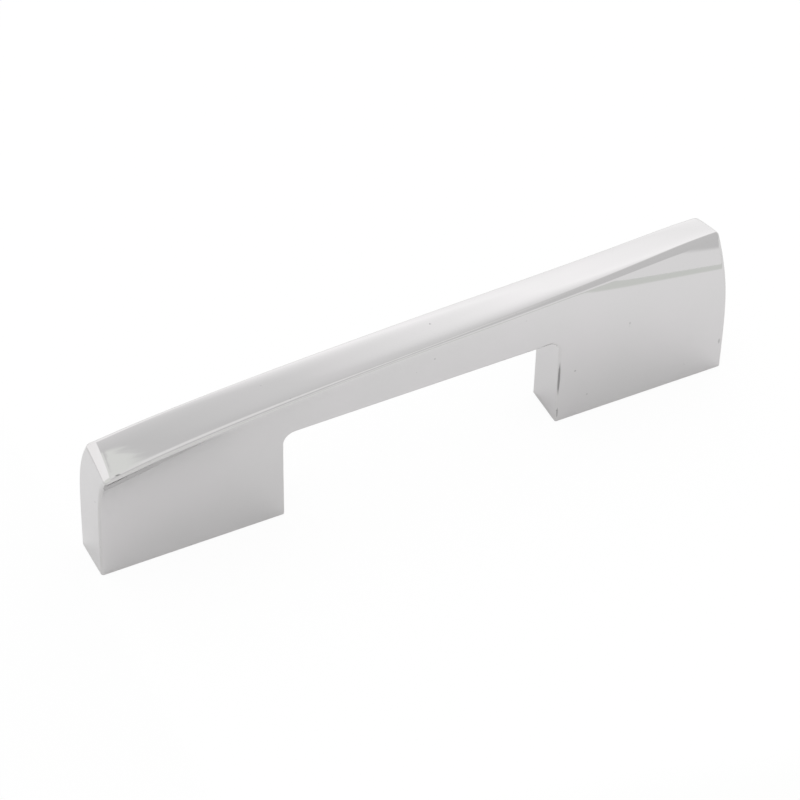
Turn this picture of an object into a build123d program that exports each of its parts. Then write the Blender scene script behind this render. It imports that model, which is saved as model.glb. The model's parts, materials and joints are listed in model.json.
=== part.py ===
from build123d import *
from math import cos, radians, sin, tan
import os

os.makedirs("parts", exist_ok=True)

# A cabinet bar pull, cast in one piece: a flat bar on two broad feet, whose upper part is
# turned a little about its length, forwards at the left end and backwards at the right.
# X runs along the bar, the front is -Y, and the feet stand on Z = 0 with the drawer below.

# Driving dimensions, in millimetres and degrees
hole_spacing = 96.0
foot_length = 37.7
base_thickness = 9.4
top_width = 8.9
height = 31.4
top_crown = 0.28
finger_clearance = 21.5
gap_corner_radius = 2.4
turn_axis_height = 14.0
end_turn = 17.5
even_turn_share = 0.69
end_draft = 1.0
end_top_radius = 1.2
edge_radius = 0.7
gap_edge_radius = 0.35
screw_hole_radius = 1.65
screw_hole_depth = 12.0
screw_mouth_radius = 2.2
screw_mouth_angle = 90.0

# Sizes that follow from them
half_length = (hole_spacing + foot_length) / 2
half_gap = (hole_spacing - foot_length) / 2
half_thickness = base_thickness / 2

# The bar is drawn a little too long and too deep, and is then cut to its side outline
overrun = base_thickness / 6
section_count = 9
wall_bend_order = 6


def turn_at(x):
    # The turn grows evenly along the bar, and a little faster towards its ends
    share = x / half_length
    return radians(end_turn) * (even_turn_share * share + (1 - even_turn_share) * share**3)


def crowned_top(front, back, turn):
    # Five points of a top that is flat along its middle and falls off softly to both corners
    points = []
    for quarter in range(5):
        lift = 2 * top_crown * (quarter % 2)
        across = front[0] + (back[0] - front[0]) * quarter / 4 + lift * sin(turn)
        up = front[1] + (back[1] - front[1]) * quarter / 4 + lift * cos(turn)
        points.append((across, up))
    return points


def turned_section(x):
    # Walls that start upright and bend over more and more towards the turned top corners
    turn = turn_at(x)
    rise = height - turn_axis_height
    corners = []
    with BuildSketch(Plane.YZ.offset(x)) as section:
        with BuildLine():
            for side in (-1, 1):
                across = side * top_width / 2
                corner = (
                    rise * sin(turn) + across * cos(turn),
                    turn_axis_height + rise * cos(turn) - across * sin(turn),
                )
                wall = side * half_thickness
                rise_step = (corner[1] + overrun) / wall_bend_order
                Bezier(*[(wall, step * rise_step - overrun) for step in range(wall_bend_order)], corner)
                corners.append(corner)
            Bezier(*crowned_top(*corners, turn))
            Line((-half_thickness, -overrun), (half_thickness, -overrun))
        make_face()
    return section.sketch


with BuildPart() as pull_body:
    # The turned bar, lofted through cross-sections along its length
    first_section = -half_length - overrun
    section_step = -2 * first_section / (section_count - 1)
    for index in range(section_count):
        add(turned_section(first_section + index * section_step))
    loft()

    # The side outline: drafted ends, and the finger gap between the two feet
    outline_height = height + base_thickness
    outline_half_top = half_length - outline_height * tan(radians(end_draft))
    with BuildSketch(Plane.XZ) as side_outline:
        with BuildLine():
            Polyline(
                (-half_length, 0),
                (-outline_half_top, outline_height),
                (outline_half_top, outline_height),
                (half_length, 0),
                (half_gap, 0),
                (half_gap, finger_clearance),
                (-half_gap, finger_clearance),
                (-half_gap, 0),
                close=True,
            )
        make_face()
        gap_points = side_outline.vertices().filter_by_position(Axis.X, -half_gap, half_gap)
        fillet(gap_points.group_by(Axis.Y)[-1], gap_corner_radius)
    extrude(amount=outline_height, both=True, mode=Mode.INTERSECT)

    # A broad rounding where the top runs out at each end
    top_edges = pull_body.faces().sort_by(Axis.Z)[-1].edges().sort_by(Axis.X)
    fillet([top_edges[0], top_edges[-1]], end_top_radius)

    # A finer one up both sides of each end and along both creases of the top
    ends = pull_body.faces().sort_by(Axis.X)
    upright_edges = [edge for end in (ends[0], ends[-1]) for edge in end.edges().sort_by(SortBy.LENGTH)[-2:]]
    crease_edges = pull_body.edges().filter_by(lambda edge: edge.length > hole_spacing)
    fillet(upright_edges + crease_edges, edge_radius)

    # Smaller rounding round the finger gap, under the bar and down the inside of the feet
    gap_faces = (
        pull_body.faces()
        .filter_by_position(Axis.X, -half_gap - gap_edge_radius, half_gap + gap_edge_radius)
        .filter_by_position(Axis.Y, -half_thickness / 2, half_thickness / 2)
        .filter_by_position(Axis.Z, gap_edge_radius, finger_clearance + gap_edge_radius)
    )
    gap_edges = gap_faces.edges().filter_by(Axis.Y, reverse=True)
    fillet(gap_edges, gap_edge_radius)

    # A tapped blind hole in the middle of each foot, for a screw through the drawer front
    with Locations(Plane(origin=(0, 0, 0), z_dir=(0, 0, -1))):
        with GridLocations(hole_spacing, 0, 2, 1):
            CounterSinkHole(screw_hole_radius, screw_mouth_radius, screw_hole_depth, screw_mouth_angle)

pull_body.part.label = "pull_body"
export_step(pull_body.part, "parts/pull_body.step")
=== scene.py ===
import json
import math
import bmesh
import bpy
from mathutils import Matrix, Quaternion, Vector


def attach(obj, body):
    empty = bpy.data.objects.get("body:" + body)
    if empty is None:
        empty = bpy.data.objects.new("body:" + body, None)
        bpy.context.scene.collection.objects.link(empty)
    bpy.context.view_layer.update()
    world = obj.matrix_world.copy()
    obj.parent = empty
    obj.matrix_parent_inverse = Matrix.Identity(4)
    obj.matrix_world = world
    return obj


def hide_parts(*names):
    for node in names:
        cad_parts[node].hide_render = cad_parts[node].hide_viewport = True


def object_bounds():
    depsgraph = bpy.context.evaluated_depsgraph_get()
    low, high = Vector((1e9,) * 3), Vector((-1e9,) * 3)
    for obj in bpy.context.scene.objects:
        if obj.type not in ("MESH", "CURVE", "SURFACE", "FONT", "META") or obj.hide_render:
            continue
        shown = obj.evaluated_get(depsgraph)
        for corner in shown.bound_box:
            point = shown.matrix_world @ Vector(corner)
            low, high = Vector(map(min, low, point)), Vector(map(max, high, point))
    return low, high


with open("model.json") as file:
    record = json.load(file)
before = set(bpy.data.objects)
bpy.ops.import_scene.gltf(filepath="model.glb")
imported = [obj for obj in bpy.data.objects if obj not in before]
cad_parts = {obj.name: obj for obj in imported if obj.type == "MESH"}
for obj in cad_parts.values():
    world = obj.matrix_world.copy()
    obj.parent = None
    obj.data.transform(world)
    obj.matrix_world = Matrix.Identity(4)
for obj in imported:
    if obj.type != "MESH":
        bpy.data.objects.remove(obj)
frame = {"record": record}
cadLow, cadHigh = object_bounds()
mm = 0.001
tiny = 0.001 * mm  # a distance that counts as none
mounts = {mount["name"]: mount["dims"] for mount in frame["record"]["mounts"]}
print("frame loaded, the pull is", round(cadHigh.x - cadLow.x, 4), "m long")


def mix(first, second, share):
    return first + (second - first) * share


def ease(share):  # soft step from 0 to 1
    share = max(0.0, min(1.0, share))
    return share * share * (3 - 2 * share)


def span(first, last, steps):
    return [mix(first, last, step / steps) for step in range(steps + 1)]


def calc(tree, operation, *values):  # one math node, fed by numbers and sockets
    node = tree.nodes.new("ShaderNodeMath")
    node.operation = operation
    for socket, value in zip(node.inputs, values):
        if isinstance(value, (int, float)):
            socket.default_value = value
        else:
            tree.links.new(value, socket)
    return node.outputs[0]


def total(tree, *values):
    sofar = values[0]
    for value in values[1:]:
        sofar = calc(tree, "ADD", sofar, value)
    return sofar


def product(tree, *values):
    sofar = values[0]
    for value in values[1:]:
        sofar = calc(tree, "MULTIPLY", sofar, value)
    return sofar


def rise(tree, value, low, high):  # soft step between two values of a socket
    node = tree.nodes.new("ShaderNodeMapRange")
    node.interpolation_type = "SMOOTHSTEP"
    tree.links.new(value, node.inputs["Value"])
    node.inputs["From Min"].default_value = low
    node.inputs["From Max"].default_value = high
    return node.outputs["Result"]


def drop(tree, value, low, high):  # the same step downwards
    return calc(tree, "SUBTRACT", 1, rise(tree, value, low, high))


def blendColours(tree, share, first, second):
    node = tree.nodes.new("ShaderNodeMix")
    node.data_type = "RGBA"
    sockets = [node.inputs[name] for name in ("Factor", "A", "B")]
    for socket, value in zip(sockets, (share, first, second)):
        if isinstance(value, tuple):
            socket.default_value = (*value, 1)
        else:
            tree.links.new(value, socket)
    return node.outputs["Result"]


def grey(level):
    return (level, level, level)


# The pull before it is turned: a straight bar on two feet. Each crease is softest where its wall
# hangs over, and the top of each end is softer at its back than at its front.
halfHoles = mounts["screw_pattern"]["spacing_x_mm"] / 2 * mm
blank = {
    "halfLength": cadHigh.x,
    "halfGap": 2 * halfHoles - cadHigh.x,
    "halfThick": 4.7 * mm,
    "height": 31.4 * mm,
    "clearance": 21.5 * mm,
    "gapCorner": 2.4 * mm,
    "gapEdge": 0.45 * mm,
    "soleEdge": 0.32 * mm,
    # a crease's rounding where it leans in, midway and where it hangs over
    "creaseTop": (0.6 * mm, 0.5 * mm, 1.25 * mm),
    "creaseWall": (0.85 * mm, 1.1 * mm, 1.25 * mm),
    "creasePace": 1.4,  # above 1, the rounding has changed in full before the ends
    "endSide": (0.54 * mm, 0.9 * mm),  # up the sides of an end, low down and beside the top
    "endSideChange": (0.6, 1 / 3),  # where it starts to change and how far that goes on, in heights
    # the rounding of each end's top at its front and at its back, along the top and down the end
    "endTopAlong": {-1: (1.6 * mm, 2.4 * mm), 1: (0.6 * mm, 1.3 * mm)},
    "endTopDown": {-1: (0.8 * mm, 1.1 * mm), 1: (0.8 * mm, 0.8 * mm)},
    "endFall": 0.35 * mm,  # the top's last stretch falls off a little
    "endFallLength": 13 * mm,
    "guard": 0.12 * mm,  # narrow faces beside each rounding, so that its shading stays its own
    "least": 0.02 * mm,  # the smallest a crease's rounding gets at the ends
    "roundSteps": 10,
    "soleSteps": 6,
    "footSteps": 60,
    "barSteps": 84,
    "wallSteps": 18,
    "skirtSteps": 18,
    "topSteps": 28,
    "gapSteps": 8,
    "holeSteps": 48,
}


def between(values, place):  # eases from the first of three values, at -1, over the second to the third
    target = values[2] if place > 0 else values[0]
    return mix(values[1], target, ease(abs(place)))


def creaseRounding(x, side):
    overhang = blank["creasePace"] * side * x / blank["halfLength"]
    return between(blank["creaseTop"], overhang), between(blank["creaseWall"], overhang)


def endTopRounding(x, y):
    end = 1 if x > 0 else -1
    share = (1 + y / blank["halfThick"]) / 2
    return mix(*blank["endTopAlong"][end], share), mix(*blank["endTopDown"][end], share)


def topLevel(out):  # the height of the top, so far out from the middle
    late = max(0, out - blank["halfLength"] + blank["endFallLength"]) / blank["endFallLength"]
    return blank["height"] - blank["endFall"] * late * late


def endSideRadius(z):
    start, length = blank["endSideChange"]
    return mix(*blank["endSide"], ease((z / blank["height"] - start) / length))


def guarded(first, last, steps):
    step = math.copysign(blank["guard"], last - first)
    return [first] + span(first + step, last - step, steps) + [last]


def skirtLine(station, side):  # a wall from its foot to the level where the gap's corners start
    points = []
    for z in span(blank["soleEdge"], blank["clearance"] - blank["gapCorner"], blank["skirtSteps"]):
        radius = endSideRadius(z)
        y = blank["halfThick"] - radius * (1 - math.cos(station["angle"])) - station["inner"]
        x = station["x"]
        if station["end"]:
            short = radius * (1 - math.sin(station["angle"]))
            x = station["end"] * (blank["halfLength"] - short - station["back"])
        points.append((x, side * y, z))
    return points


def overLine(station):  # from low on the front wall, over both creases and the top, to the back wall
    end, steps, least = station["end"], blank["roundSteps"], blank["least"]
    drawIn, short = 1 - math.cos(station["angle"]), 1 - math.sin(station["angle"])
    sideRadius = endSideRadius(blank["height"])
    sides, reaches = {}, {}
    for side in (-1, 1):
        creaseTop, creaseWall = creaseRounding(station["x"], side)
        inWall = sideRadius * drawIn + station["inner"]
        middleY = blank["halfThick"] - max(creaseTop, inWall + least)
        along, down = endTopRounding(station["x"], side * middleY)
        inTop = down * drawIn + station["inner"]
        middleZ = topLevel(abs(station["x"]) - along * abs(end)) - max(creaseWall, inTop + least)
        acrossY, acrossZ = max(creaseTop - inWall, least), max(creaseWall - inTop, least)
        line = []
        for z in guarded(station["low"], middleZ, blank["wallSteps"]):
            radius = endSideRadius(z)
            line.append((blank["halfThick"] - radius * drawIn - station["inner"], z, radius))
        for step in range(1, steps):
            lean = math.pi / 2 * step / steps
            reach = mix(sideRadius, along, ease(step / steps))
            line.append((middleY + acrossY * math.cos(lean), middleZ + acrossZ * math.sin(lean), reach))
        sides[side] = [(side * y, z, reach) for y, z, reach in line]
        reaches[side] = side * middleY
    top = []
    for y in guarded(reaches[-1], reaches[1], blank["topSteps"]):
        along, down = endTopRounding(station["x"], y)
        level = topLevel(abs(station["x"]) - along * abs(end))  # where the rounding starts
        top.append((y, level - down * drawIn - station["inner"], along))
    points = []
    for y, z, reach in sides[-1] + top + sides[1][::-1]:
        x = station["x"]
        if end:
            x = end * (blank["halfLength"] - reach * short - station["back"])
        points.append((x, y, z))
    return points


def footStations(end):  # from the flat of an end inwards to the edge of the finger gap
    size = blank
    low = size["clearance"] - size["gapCorner"]
    plain = {"x": end * size["halfLength"], "low": low, "end": end, "back": 0, "inner": 0}
    plain["angle"] = math.pi / 2
    stations = [dict(plain, inner=2 * size["guard"])]
    for angle in span(math.pi / 2, 0, size["roundSteps"]):
        stations.append(dict(plain, angle=angle))
    stations.append(dict(plain, angle=0, back=size["guard"]))
    first = size["halfLength"] - max(size["endTopAlong"][end]) - 5 * size["guard"]
    last = size["halfGap"] + size["gapEdge"]
    for x in span(first, last + size["guard"], size["footSteps"]) + [last]:
        stations.append(dict(plain, x=end * x, end=0, angle=0))
    return stations


def gapPath():  # points round the gap with the way into the metal, up the left foot and down the right one
    size = blank
    low = size["clearance"] - size["gapCorner"]
    corner = size["halfGap"] - size["gapCorner"]
    rising = [(-size["halfGap"], z, -1, 0) for z in span(size["soleEdge"], low, size["skirtSteps"])]
    for angle in span(math.pi, math.pi / 2, size["roundSteps"])[1:]:
        away = math.cos(angle), math.sin(angle)
        rising.append((-corner + size["gapCorner"] * away[0], low + size["gapCorner"] * away[1], *away))
    under = [(x, size["clearance"], 0, 1) for x in span(-corner, corner, size["barSteps"])[1:-1]]
    falling = [(-x, z, -wayX, wayZ) for x, z, wayX, wayZ in rising[::-1]]
    return rising, under, falling


def gapLine(place):  # across the gap's face, from edge to rounded edge
    x, z, wayX, wayZ = place
    size = blank
    edge = []
    for angle in span(0, math.pi / 2, size["roundSteps"] // 2):
        off = size["gapEdge"] * (1 - math.sin(angle))
        edge.append((off, size["halfThick"] - size["gapEdge"] * (1 - math.cos(angle))))
    reach = edge[-1][1] - size["guard"]
    flat = [(0, y) for y in span(-reach, reach, size["gapSteps"])]
    across = [(off, -y) for off, y in edge] + flat + edge[::-1]
    return [(x + wayX * off, y, z + wayZ * off) for off, y in across]


def addSheet(mesh, lines):
    rows = [[mesh.verts.new(point) for point in line] for line in lines]
    for near, far in zip(rows, rows[1:]):
        for corners in zip(near, near[1:], far[1:], far):
            mesh.faces.new(corners)


def closeSole(mesh, end):  # rounds the lower rim of a foot, and closes it round its screw hole
    edges = [edge for edge in mesh.edges if edge.is_boundary and edge.verts[0].co.x * end > 0]
    rim = [edges[0].verts[0]]
    while True:
        onward = [edge.other_vert(rim[-1]) for edge in rim[-1].link_edges if edge.is_boundary]
        onward = [vert for vert in onward if vert not in rim[-2:]]
        if not onward or onward[0] is rim[0]:
            break
        rim.append(onward[0])
    places = [vert.co.xy for vert in rim]
    before, after = places[-1:] + places[:-1], places[1:] + places[:1]
    turned = sum(first.cross(second) for first, second in zip(places, after))
    ways = []
    for first, here, second in zip(before, places, after):
        way = (here - first).normalized() + (second - here).normalized()
        ways.append(Vector((-way.y, way.x)).normalized() * math.copysign(1, turned))
    for angle in span(0, math.pi / 2, blank["soleSteps"])[1:]:
        inward = blank["soleEdge"] * (1 - math.cos(angle))
        z = blank["soleEdge"] * (1 - math.sin(angle))
        lower = [mesh.verts.new((*(here + way * inward), z)) for here, way in zip(places, ways)]
        for corners in zip(rim, rim[1:] + rim[:1], lower[1:] + lower[:1], lower):
            mesh.faces.new(corners)
        rim = lower
    ring = []
    for step in range(blank["holeSteps"]):
        angle = 2 * math.pi * step / blank["holeSteps"]
        x = end * halfHoles + screwHole["mouthRadius"] * math.cos(angle)
        ring.append(mesh.verts.new((x, screwHole["mouthRadius"] * math.sin(angle), 0)))
    loop = [mesh.edges.new(pair) for pair in zip(ring, ring[1:] + ring[:1])]
    outer = [mesh.edges.get(pair) for pair in zip(rim, rim[1:] + rim[:1])]
    bmesh.ops.triangle_fill(mesh, use_beauty=True, edges=outer + loop, normal=(0, 0, -1))


def makeBlank():
    mesh = bmesh.new()
    rising, under, falling = gapPath()
    left, right = footStations(-1), footStations(1)
    middle = []
    plain = dict(left[-1])
    for x, z, wayX, wayZ in rising[blank["skirtSteps"] + 1:] + under + falling[:blank["roundSteps"]]:
        middle.append(dict(plain, x=x + wayX * blank["gapEdge"], low=z + wayZ * blank["gapEdge"]))
    addSheet(mesh, [overLine(station) for station in left + middle + right[::-1]])
    for foot in (left, right):
        for side in (-1, 1):
            addSheet(mesh, [skirtLine(station, side) for station in foot])
        flat = skirtLine(foot[0], -1)[:-1] + overLine(foot[0]) + skirtLine(foot[0], 1)[::-1][1:]
        mesh.faces.new([mesh.verts.new(point) for point in flat])
    addSheet(mesh, [gapLine(place) for place in rising + under + falling])
    bmesh.ops.remove_doubles(mesh, verts=mesh.verts, dist=tiny)
    for end in (-1, 1):
        closeSole(mesh, end)
    bmesh.ops.recalc_face_normals(mesh, faces=mesh.faces)
    data = bpy.data.meshes.new("pullBody")
    mesh.to_mesh(data)
    mesh.free()
    made = bpy.data.objects.new("pullBody", data)
    bpy.context.scene.collection.objects.link(made)
    return made


# Named inputs of a node tree, set on its modifier by socket identifier
def addTree(target, name, values):
    tree = bpy.data.node_groups.new(name, "GeometryNodeTree")
    tree.interface.new_socket("Geometry", in_out="INPUT", socket_type="NodeSocketGeometry")
    tree.interface.new_socket("Geometry", in_out="OUTPUT", socket_type="NodeSocketGeometry")
    modifier = target.modifiers.new(name, "NODES")
    identifiers = {}
    for label in values:
        socket = tree.interface.new_socket(label, in_out="INPUT", socket_type="NodeSocketFloat")
        identifiers[label] = socket.identifier
    modifier.node_group = tree
    for label, value in values.items():
        modifier[identifiers[label]] = value
    return tree, tree.nodes.new("NodeGroupInput").outputs, tree.nodes.new("NodeGroupOutput").inputs


turning = {
    "Half Length": blank["halfLength"],
    "Half Thickness": blank["halfThick"],
    "Height": blank["height"],
    "Straight Below": blank["clearance"] + blank["gapEdge"],
    "Root Depth": blank["halfThick"] / 3,
    "Axis Height": 14.0 * mm,
    "Half Top": 4.45 * mm,
    "Top Crown": 0.28 * mm,
    "Left Droop": 0.5 * mm,
    "End Turn": math.radians(17.5),
    "Even Share": 0.69,
    "Bend Order": 5.2,
    "Overhang Order": 0.8,
    "Draft Start": halfHoles + 4 * mm,  # clear of the screw holes
    "Left Draft": math.tan(math.radians(1.0)),
    "Right Draft": math.tan(math.radians(0.45)),
    "End Skew": 0.25 * mm,
}


def addTurning(target, plate, sole):  # turns the straight bar along its length, and leans its walls over
    tree, given, result = addTree(target, "turnedBar", turning)
    make, link = tree.nodes.new, tree.links.new
    split = make("ShaderNodeSeparateXYZ")
    link(make("GeometryNodeInputPosition").outputs[0], split.inputs[0])
    x, y, z = split.outputs
    share = calc(tree, "DIVIDE", x, given["Half Length"])
    evenly = product(tree, given["Even Share"], share)
    faster = product(tree, calc(tree, "SUBTRACT", 1, given["Even Share"]), share, share, share)
    turn = product(tree, given["End Turn"], total(tree, evenly, faster))
    sine, cosine = calc(tree, "SINE", turn), calc(tree, "COSINE", turn)
    arm = calc(tree, "SUBTRACT", given["Height"], given["Axis Height"])
    ridgeY = product(tree, arm, sine)
    ridgeZ = total(tree, given["Axis Height"], product(tree, arm, cosine))
    across = calc(tree, "DIVIDE", y, given["Half Thickness"])
    # the top follows the turn, and falls off a little to both creases
    fall = calc(tree, "SUBTRACT", 1, product(tree, across, across, across, across))
    topZ = calc(tree, "SUBTRACT", ridgeZ, product(tree, across, given["Half Top"], sine))
    topZ = total(tree, topZ, product(tree, given["Top Crown"], fall))
    # towards the left end it droops a little at the front
    toFront = product(tree, calc(tree, "SUBTRACT", 1, across), 0.5)
    droop = product(tree, given["Left Droop"], share, share, calc(tree, "LESS_THAN", x, 0))
    topZ = calc(tree, "SUBTRACT", topZ, product(tree, droop, toFront, toFront))
    above = calc(tree, "SUBTRACT", z, given["Straight Below"])
    room = calc(tree, "SUBTRACT", given["Height"], given["Straight Below"])
    part = calc(tree, "MAXIMUM", calc(tree, "DIVIDE", above, room), 0)
    shift = product(tree, calc(tree, "SUBTRACT", topZ, given["Height"]), part, part)
    newZ = total(tree, z, shift)
    # each wall stands upright at its foot and bends more and more towards its crease
    walls = []
    for side in (-1, 1):
        start = product(tree, given["Half Thickness"], side)
        cornerY = total(tree, ridgeY, product(tree, given["Half Top"], cosine, side))
        cornerZ = calc(tree, "SUBTRACT", ridgeZ, product(tree, given["Half Top"], sine, side))
        if side < 0:
            cornerZ = calc(tree, "SUBTRACT", cornerZ, droop)
        level = total(tree, newZ, given["Root Depth"])
        level = calc(tree, "DIVIDE", level, total(tree, cornerZ, given["Root Depth"]))
        order = total(tree, given["Bend Order"], product(tree, given["Overhang Order"], share, side))
        bend = calc(tree, "POWER", level, order)
        walls.append(total(tree, start, product(tree, calc(tree, "SUBTRACT", cornerY, start), bend)))
    toBack = product(tree, total(tree, across, 1), 0.5)
    newY = total(tree, walls[0], product(tree, calc(tree, "SUBTRACT", walls[1], walls[0]), toBack))
    # the ends lean in by their draft, and both face round a little, as the turned top does
    beyond = calc(tree, "SUBTRACT", calc(tree, "ABSOLUTE", x), given["Draft Start"])
    beyond = calc(tree, "DIVIDE", beyond, calc(tree, "SUBTRACT", given["Half Length"], given["Draft Start"]))
    beyond = rise(tree, beyond, 0, 1)
    end = calc(tree, "SIGN", x)
    isRight = calc(tree, "GREATER_THAN", x, 0)
    draft = calc(tree, "SUBTRACT", given["Right Draft"], given["Left Draft"])
    draft = total(tree, given["Left Draft"], product(tree, draft, isRight))
    skew = product(tree, given["End Skew"], total(tree, end, across), 0.5)
    inward = total(tree, product(tree, draft, newZ, end), skew)
    newX = calc(tree, "SUBTRACT", x, product(tree, inward, beyond))
    join = make("ShaderNodeCombineXYZ")
    for socket, value in zip(join.inputs, (newX, newY, newZ)):
        link(value, socket)
    place = make("GeometryNodeSetPosition")
    link(given["Geometry"], place.inputs["Geometry"])
    link(join.outputs[0], place.inputs["Position"])
    smooth = make("GeometryNodeSetShadeSmooth")
    link(place.outputs[0], smooth.inputs["Geometry"])
    # every rounded edge is noted, for the wear in the finish
    wear = make("GeometryNodeStoreNamedAttribute")
    wear.data_type = "FLOAT"
    wear.domain = "POINT"
    wear.inputs["Name"].default_value = "edgeWear"
    bentBy = make("GeometryNodeInputMeshEdgeAngle").outputs["Unsigned Angle"]
    flatUpTo, roundFrom = math.radians(1.5), math.radians(4.5)
    link(rise(tree, bentBy, flatUpTo, roundFrom), wear.inputs["Value"])
    link(smooth.outputs[0], wear.inputs["Geometry"])
    single = make("GeometryNodeRealizeInstances")
    link(wear.outputs[0], single.inputs[0])
    finish = make("GeometryNodeSetMaterial")
    finish.inputs["Material"].default_value = plate
    link(single.outputs[0], finish.inputs["Geometry"])
    under = make("GeometryNodeSetMaterial")
    under.inputs["Material"].default_value = sole
    link(finish.outputs[0], under.inputs["Geometry"])
    link(calc(tree, "LESS_THAN", z, tiny), under.inputs["Selection"])
    link(under.outputs[0], result["Geometry"])


# A tapped hole in each foot: a short countersink, then an M4 thread up to the flat end of the hole
screwHole = {"mouthRadius": 2.2 * mm, "depth": 12.0 * mm, "pitch": 0.7 * mm, "rows": 170}
thread = {
    "Hole Radius": mounts["left_screw_hole"]["r_mm"] * mm,
    "Mouth Radius": screwHole["mouthRadius"],
    "Depth": screwHole["depth"],
    "Pitch": screwHole["pitch"],
    "Thread Depth": 0.33 * mm,
    "Run Out": 1.4 * mm,
    "Spacing": 2 * halfHoles,
}


def addThreads(target, metal):
    tree, given, result = addTree(target, "threadedHoles", thread)
    make, link = tree.nodes.new, tree.links.new
    grid = make("GeometryNodeMeshGrid")
    grid.inputs["Size X"].default_value = 1
    grid.inputs["Size Y"].default_value = 1
    grid.inputs["Vertices X"].default_value = blank["holeSteps"] + 1
    grid.inputs["Vertices Y"].default_value = screwHole["rows"]
    split = make("ShaderNodeSeparateXYZ")
    link(make("GeometryNodeInputPosition").outputs[0], split.inputs[0])
    around = product(tree, total(tree, split.outputs["X"], 0.5), 2 * math.pi)
    along = total(tree, split.outputs["Y"], 0.5)
    # the last row closes the end of the hole, level with the row before it
    stretch = (screwHole["rows"] - 1) / (screwHole["rows"] - 2)
    deep = product(tree, calc(tree, "MINIMUM", product(tree, along, stretch), 1), given["Depth"])
    cone = calc(tree, "MAXIMUM", calc(tree, "SUBTRACT", given["Mouth Radius"], deep), given["Hole Radius"])
    turns = product(tree, around, -0.5 / math.pi)
    turns = total(tree, calc(tree, "DIVIDE", deep, given["Pitch"]), turns)
    wave = product(tree, calc(tree, "PINGPONG", turns, 0.5), 2)
    fadeIn = calc(tree, "SUBTRACT", deep, calc(tree, "SUBTRACT", given["Mouth Radius"], given["Hole Radius"]))
    fadeIn = rise(tree, calc(tree, "DIVIDE", fadeIn, given["Pitch"]), 0, 1)
    fadeOut = calc(tree, "SUBTRACT", given["Depth"], deep)
    fadeOut = rise(tree, calc(tree, "DIVIDE", fadeOut, given["Run Out"]), 0.2, 1)
    radius = total(tree, cone, product(tree, given["Thread Depth"], wave, fadeIn, fadeOut))
    radius = product(tree, radius, calc(tree, "LESS_THAN", along, 1 - 0.2 / screwHole["rows"]))
    join = make("ShaderNodeCombineXYZ")
    link(product(tree, radius, calc(tree, "COSINE", around)), join.inputs["X"])
    link(product(tree, radius, calc(tree, "SINE", around)), join.inputs["Y"])
    link(deep, join.inputs["Z"])
    place = make("GeometryNodeSetPosition")
    link(grid.outputs["Mesh"], place.inputs["Geometry"])
    link(join.outputs[0], place.inputs["Position"])
    paint = make("GeometryNodeSetMaterial")
    paint.inputs["Material"].default_value = metal
    link(place.outputs[0], paint.inputs["Geometry"])
    # one hole in each foot
    start, step = make("ShaderNodeCombineXYZ"), make("ShaderNodeCombineXYZ")
    link(product(tree, given["Spacing"], -0.5), start.inputs["X"])
    link(given["Spacing"], step.inputs["X"])
    line = make("GeometryNodeMeshLine")
    line.inputs["Count"].default_value = 2
    link(start.outputs[0], line.inputs["Start Location"])
    link(step.outputs[0], line.inputs["Offset"])
    copies = make("GeometryNodeInstanceOnPoints")
    link(line.outputs[0], copies.inputs["Points"])
    link(paint.outputs[0], copies.inputs["Instance"])
    single = make("GeometryNodeRealizeInstances")
    link(copies.outputs[0], single.inputs[0])
    both = make("GeometryNodeJoinGeometry")
    link(single.outputs[0], both.inputs[0])
    link(given["Geometry"], both.inputs[0])
    weld = make("GeometryNodeMergeByDistance")
    weld.inputs["Distance"].default_value = 2 * tiny
    link(both.outputs[0], weld.inputs["Geometry"])
    smooth = make("GeometryNodeSetShadeSmooth")
    link(weld.outputs[0], smooth.inputs["Geometry"])
    link(smooth.outputs[0], result["Geometry"])


def settle(target):  # turns what the node trees made into a plain mesh
    seen = target.evaluated_get(bpy.context.evaluated_depsgraph_get())
    data = bpy.data.meshes.new_from_object(seen)
    target.modifiers.clear()
    target.data = data
    mesh = bmesh.new()
    mesh.from_mesh(data)
    bmesh.ops.dissolve_degenerate(mesh, edges=mesh.edges, dist=tiny / 2)
    bmesh.ops.recalc_face_normals(mesh, faces=mesh.faces)
    loose = [edge for edge in mesh.edges if len(edge.link_faces) != 2]
    print(target.name, "has", len(mesh.faces), "faces and", len(loose), "open edges")
    mesh.to_mesh(data)
    mesh.free()
    data.set_sharp_from_angle(angle=math.radians(40))


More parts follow.
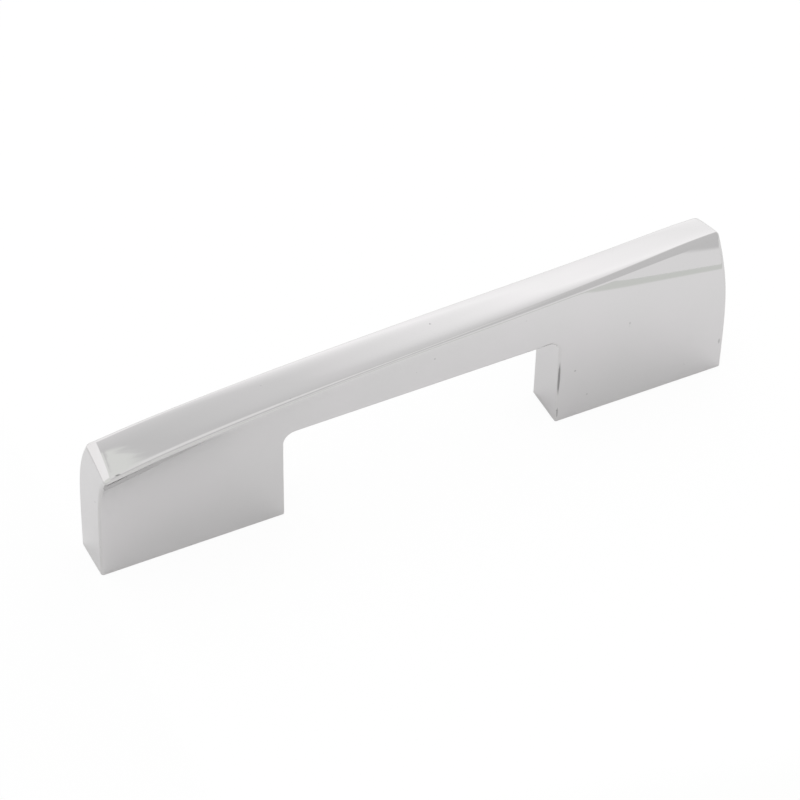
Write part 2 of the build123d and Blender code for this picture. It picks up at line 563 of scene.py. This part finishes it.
# Bright plating: a clear mirror with a faint wave, fine grain, a few specks, and nicks along its edges
def skinGroup():
    tree = bpy.data.node_groups.new("platedSkin", "ShaderNodeTree")
    sizes = {
        "Wave Size": 14 * mm,
        "Grain Size": 1.2 * mm,
        "Nick Size": 0.7 * mm,
        "Speck Spacing": 4.2 * mm,
        "Speck Radius": 0.085 * mm,
    }
    for label, value in sizes.items():
        socket = tree.interface.new_socket(label, in_out="INPUT", socket_type="NodeSocketFloat")
        socket.default_value = value
    for label in ("Haze", "Tone", "Wear", "Speck", "Height"):
        tree.interface.new_socket(label, in_out="OUTPUT", socket_type="NodeSocketFloat")
    make, link = tree.nodes.new, tree.links.new
    given, result = make("NodeGroupInput").outputs, make("NodeGroupOutput").inputs
    place = make("ShaderNodeTexCoord").outputs["Object"]

    def noise(size, detail):
        node = make("ShaderNodeTexNoise")
        link(place, node.inputs["Vector"])
        link(calc(tree, "DIVIDE", 1, size), node.inputs["Scale"])
        node.inputs["Detail"].default_value = detail
        return node.outputs[0]

    wave, grain = noise(given["Wave Size"], 1), noise(given["Grain Size"], 2)
    cells = make("ShaderNodeTexVoronoi")
    link(place, cells.inputs["Vector"])
    link(calc(tree, "DIVIDE", 1, given["Speck Spacing"]), cells.inputs["Scale"])
    near = product(tree, cells.outputs["Distance"], given["Speck Spacing"])
    near = calc(tree, "DIVIDE", near, given["Speck Radius"])
    speck = drop(tree, near, 0.6, 1)
    worn = make("ShaderNodeAttribute")
    worn.attribute_name = "edgeWear"
    onEdge = rise(tree, worn.outputs["Fac"], 0.5, 0.9)
    nickFrom, nickFull = 0.77, 0.82  # only the peaks of the noise are nicks
    nick = product(tree, onEdge, rise(tree, noise(given["Nick Size"], 1), nickFrom, nickFull))
    link(product(tree, wave, grain), result["Haze"])
    link(rise(tree, wave, 0.3, 0.7), result["Tone"])
    link(product(tree, worn.outputs["Fac"], grain), result["Wear"])
    link(calc(tree, "MAXIMUM", speck, nick), result["Speck"])
    grainHeight, speckHeight, nickHeight = 0.02, -0.4, -0.8  # beside 1 for the wave
    height = total(tree, wave, product(tree, grain, grainHeight), product(tree, speck, speckHeight))
    link(total(tree, height, product(tree, nick, nickHeight)), result["Height"])
    return tree


def addFlawsAndShade(tree, flawsAndShade):  # a mask of single flaws and of painted shade, each an oval with its own place, half sizes and strength
    place = tree.nodes.new("ShaderNodeTexCoord").outputs["Object"]
    mask = 0.0
    for centre, half, strength in flawsAndShade:
        offset = tree.nodes.new("ShaderNodeVectorMath")
        offset.operation = "SUBTRACT"
        tree.links.new(place, offset.inputs[0])
        offset.inputs[1].default_value = [value * mm for value in centre]
        reach = tree.nodes.new("ShaderNodeVectorMath")
        reach.operation = "DIVIDE"
        tree.links.new(offset.outputs[0], reach.inputs[0])
        reach.inputs[1].default_value = [value * mm for value in half]
        away = tree.nodes.new("ShaderNodeVectorMath")
        away.operation = "LENGTH"
        tree.links.new(reach.outputs[0], away.inputs[0])
        inside = drop(tree, away.outputs["Value"], 0.5, 1)
        mask = calc(tree, "MAXIMUM", mask, product(tree, inside, strength))
    return mask


def metalFinish(name, look, skin):
    material = bpy.data.materials.new(name)
    material.use_nodes = True
    tree = material.node_tree
    shader = tree.nodes["Principled BSDF"]
    shader.inputs["Metallic"].default_value = 1
    group = tree.nodes.new("ShaderNodeGroup")
    group.node_tree = skin
    group.inputs["Grain Size"].default_value = look["grain"]
    flawAndShade = calc(tree, "MAXIMUM", group.outputs["Speck"], addFlawsAndShade(tree, look["flawsAndShade"]))
    tint = blendColours(tree, group.outputs["Tone"], look["colour"], look["toneColour"])
    tint = blendColours(tree, product(tree, group.outputs["Wear"], look["wear"]), tint, look["wornColour"])
    # specks, nicks and flaws darken the colour; one of the flaws is painted shade in the corner under the bar
    tint = blendColours(tree, flawAndShade, tint, look["speckAndShadeColour"])
    tree.links.new(tint, shader.inputs["Base Color"])
    low, high = look["roughness"]
    wornRough, flawAndShadeRough, flawAndShadeHeight = 0.1, 0.3, -0.4
    rough = total(tree, low, product(tree, group.outputs["Haze"], 2 * (high - low)))
    rough = total(tree, rough, product(tree, group.outputs["Wear"], look["wear"], wornRough))
    tree.links.new(total(tree, rough, product(tree, flawAndShade, flawAndShadeRough)), shader.inputs["Roughness"])
    bump = tree.nodes.new("ShaderNodeBump")
    bump.inputs["Distance"].default_value = look["relief"]
    height = total(tree, group.outputs["Height"], product(tree, flawAndShade, flawAndShadeHeight))
    tree.links.new(height, bump.inputs["Height"])
    tree.links.new(bump.outputs["Normal"], shader.inputs["Normal"])
    return material


skin = skinGroup()
plateLook = {
    "colour": (0.628, 0.616, 0.621),
    "toneColour": (0.618, 0.61, 0.612),
    "wornColour": (0.56, 0.55, 0.54),
    "wear": 0.5,
    "speckAndShadeColour": (0.2, 0.2, 0.2),
    "roughness": (0.03, 0.07),
    "grain": 1.2 * mm,
    "relief": 0.02 * mm,
    # centre and half sizes in millimetres, and strength
    "flawsAndShade": [
        ((-63.3, -8.6, 29.4), (0.9, 0.4, 0.2), 0.9),  # pit beside the left end's front crease
        ((29.4, -4.6, 11.8), (0.3, 0.3, 5.2), 0.8),  # long scrape on the right foot's inner edge
        ((29.5, -4.7, 2.6), (0.2, 0.3, 1.6), 0.6),  # a shorter one below it
        ((26.6, -4.5, 21.9), (1.9, 0.3, 0.16), 0.6),  # painted shade: a dark line along the corner under the bar beside the right foot
        ((-66.3, -3.5, 19.0), (0.4, 0.3, 0.25), 0.5),  # small pit in the left end, and others
        ((3.8, 1.2, 31.7), (0.25, 0.3, 0.3), 0.4),
        ((2.1, -4.5, 28.2), (0.25, 0.3, 0.25), 0.4),
        ((44.7, -4.3, 20.3), (0.2, 0.3, 0.4), 0.4),
        ((32.9, -4.7, 12.6), (0.3, 0.3, 0.25), 0.5),
        ((36.0, -4.7, 5.0), (0.25, 0.3, 0.25), 0.4),
        ((65.8, -4.6, 7.4), (0.3, 0.3, 0.9), 0.4),
    ],
}
soleLook = {
    "colour": (0.58, 0.575, 0.575),
    "toneColour": (0.55, 0.545, 0.54),
    "wornColour": (0.48, 0.47, 0.46),
    "wear": 0.8,
    "speckAndShadeColour": (0.3, 0.3, 0.3),
    "roughness": (0.3, 0.5),
    "grain": 0.4 * mm,
    "relief": 0.3 * mm,
    "flawsAndShade": [],
}
threadLook = {
    "colour": (0.52, 0.52, 0.53),
    "toneColour": (0.49, 0.49, 0.5),
    "wornColour": (0.44, 0.44, 0.44),
    "wear": 0.8,
    "speckAndShadeColour": (0.3, 0.3, 0.3),
    "roughness": (0.25, 0.4),
    "grain": 0.3 * mm,
    "relief": 0.1 * mm,
    "flawsAndShade": [],
}
chromePlate = metalFinish("chromePlate", plateLook, skin)
footSole = metalFinish("footSole", soleLook, skin)
tappedZinc = metalFinish("tappedZinc", threadLook, skin)

pullBody = makeBlank()
addTurning(pullBody, chromePlate, footSole)
addThreads(pullBody, tappedZinc)
settle(pullBody)
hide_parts("pull_body")
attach(pullBody, "root")
print("pull made")


# A soft white tent, as the metal sees it from the back horizon over the top to the front one
studio = {
    # degrees round from the back horizon, and the level there
    "overhead": [
        (0, 1.34), (15, 1.27), (37, 1.41), (47, 1.18), (58, 0.95), (78, 0.83), (170, 0.795), (173, 1.05),
    ],
    # a strip of light at the front left; starts and stops are shares of the way from back to front
    "stripStart": (0.51, 0.59),
    "stripStop": (0.77, 0.87),
    "stripSide": (0.375, 0.46),  # where it fades out towards the right
    "stripLevel": 1.12,
    # a paler cloth further left, with a slanting, crumpled edge
    "clothStart": (0.425, 0.445),
    "clothSide": (0.163, 0.193),
    "clothSlant": -0.1,
    "crumple": 0.07,
    "crumpleScale": 36,
    "clothColour": (1.03, 1.05, 1.02),
    # a broad light at the left
    "leftSide": (-0.02, 0.08),
    "leftFront": (-0.5, -0.3),
    "leftFoot": (0.05, 0.2),
    "leftLevel": 1.32,
    # what matt surfaces see, on the dim side and on the bright one
    "fill": (0.99, 1.28),
    "fillSide": (0.3, 0.9, 0.3),
}


def arcRamp(tree, share, stops):
    node = tree.nodes.new("ShaderNodeValToRGB")
    ramp = node.color_ramp
    while len(ramp.elements) < len(stops):
        ramp.elements.new(1)
    for element, (degrees, level) in zip(ramp.elements, stops):
        element.position = degrees / 180
        element.color = (level, level, level, 1)
    tree.links.new(share, node.inputs[0])
    return node.outputs["Color"]


def makeWorld():
    world = bpy.data.worlds.new("studioTent")
    bpy.context.scene.world = world
    world.use_nodes = True
    tree = world.node_tree
    make, link = tree.nodes.new, tree.links.new
    shader = tree.nodes["Background"]
    way = make("ShaderNodeTexCoord").outputs["Generated"]
    split = make("ShaderNodeSeparateXYZ")
    link(way, split.inputs[0])
    x, y, z = split.outputs
    arc = product(tree, calc(tree, "ARCTAN2", calc(tree, "MAXIMUM", z, 0), y), 1 / math.pi)
    tent = arcRamp(tree, arc, studio["overhead"])
    strip = product(tree, drop(tree, x, *studio["stripSide"]), rise(tree, arc, *studio["stripStart"]))
    strip = product(tree, strip, drop(tree, arc, *studio["stripStop"]))
    tent = blendColours(tree, strip, tent, grey(studio["stripLevel"]))
    crumple = make("ShaderNodeTexNoise")
    link(way, crumple.inputs["Vector"])
    crumple.inputs["Scale"].default_value = studio["crumpleScale"]
    slant = product(tree, arc, studio["clothSlant"])
    folds = product(tree, crumple.outputs[0], studio["crumple"])
    cloth = drop(tree, total(tree, x, slant, folds), *studio["clothSide"])
    cloth = product(tree, cloth, rise(tree, arc, *studio["clothStart"]))
    tent = blendColours(tree, cloth, tent, studio["clothColour"])
    lit = product(tree, drop(tree, x, *studio["leftSide"]), rise(tree, y, *studio["leftFront"]))
    lit = product(tree, lit, rise(tree, z, *studio["leftFoot"]))
    tent = blendColours(tree, lit, tent, grey(studio["leftLevel"]))
    # the floor gets an even light of its own, a little stronger from one side
    facing = make("ShaderNodeVectorMath")
    facing.operation = "DOT_PRODUCT"
    link(way, facing.inputs[0])
    facing.inputs[1].default_value = Vector(studio["fillSide"]).normalized()
    low, high = studio["fill"]
    fill = blendColours(tree, rise(tree, facing.outputs["Value"], -1, 1), grey(low), grey(high))
    path = make("ShaderNodeLightPath")
    seen = blendColours(tree, path.outputs["Is Glossy Ray"], fill, tent)
    link(blendColours(tree, path.outputs["Is Camera Ray"], seen, grey(1)), shader.inputs["Color"])
    shader.inputs["Strength"].default_value = 1


# A white sheet that keeps the pull's soft shadow; towards the camera it is nearly all plain white
floorLook = {
    "half": 1.5,
    "front": -0.205,
    "colour": (0.9, 0.9, 0.9),
    # painted shade: the sheet is darker to the left of the pull's left end, so that end reflects a shaded
    # floor
    "leftShadeColour": (0.82, 0.82, 0.82),
    "leftShadeFrom": (-0.071, -0.066),
    "edgeColour": (0.73, 0.75, 0.72),
    "edgeFrom": (-0.096, -0.084),
    "edgeSlant": 0.25,
    "cameraWhite": 0.93,
}


def makeFloor():
    data = bpy.data.meshes.new("floorSheet")
    half, front = floorLook["half"], floorLook["front"]
    corners = [(-half, front, 0), (half, front, 0), (half, half, 0), (-half, half, 0)]
    data.from_pydata(corners, [], [(0, 1, 2, 3)])
    floor = bpy.data.objects.new("floorSheet", data)
    bpy.context.scene.collection.objects.link(floor)
    material = bpy.data.materials.new("floorWhite")
    material.use_nodes = True
    tree = material.node_tree
    tree.nodes.clear()
    make, link = tree.nodes.new, tree.links.new
    split = make("ShaderNodeSeparateXYZ")
    link(make("ShaderNodeTexCoord").outputs["Object"], split.inputs[0])
    along = total(tree, split.outputs["Y"], product(tree, split.outputs["X"], floorLook["edgeSlant"]))
    inside = rise(tree, along, *floorLook["edgeFrom"])
    # painted shade on the sheet to the left of the pull
    outsideLeftShade = rise(tree, split.outputs["X"], *floorLook["leftShadeFrom"])
    tint = blendColours(tree, outsideLeftShade, floorLook["leftShadeColour"], floorLook["colour"])
    tint = blendColours(tree, inside, floorLook["edgeColour"], tint)
    paper = make("ShaderNodeBsdfDiffuse")
    link(tint, paper.inputs["Color"])
    glow = make("ShaderNodeEmission")
    path = make("ShaderNodeLightPath")
    blend = make("ShaderNodeMixShader")
    link(product(tree, path.outputs["Is Camera Ray"], floorLook["cameraWhite"]), blend.inputs[0])
    link(paper.outputs[0], blend.inputs[1])
    link(glow.outputs[0], blend.inputs[2])
    link(blend.outputs[0], make("ShaderNodeOutputMaterial").inputs["Surface"])
    data.materials.append(material)


view = {
    "place": (-181.5 * mm, -352.5 * mm, 407.1 * mm),
    "aim": (-2.41 * mm, 0.68 * mm, 14.62 * mm),
    "roll": math.radians(1.32),
    "lens": 131.23,
}


def makeCamera():
    data = bpy.data.cameras.new("mainCamera")
    data.lens = view["lens"]
    data.sensor_width = 36
    data.clip_start = 0.01
    camera = bpy.data.objects.new("mainCamera", data)
    bpy.context.scene.collection.objects.link(camera)
    camera.location = view["place"]
    ahead = Vector(view["aim"]) - Vector(view["place"])
    camera.rotation_mode = "QUATERNION"
    camera.rotation_quaternion = ahead.to_track_quat("-Z", "Y") @ Quaternion((0, 0, 1), view["roll"])
    bpy.context.scene.camera = camera


makeWorld()
makeFloor()
makeCamera()
bpy.context.scene.view_settings.view_transform = "Standard"
print("stage made")
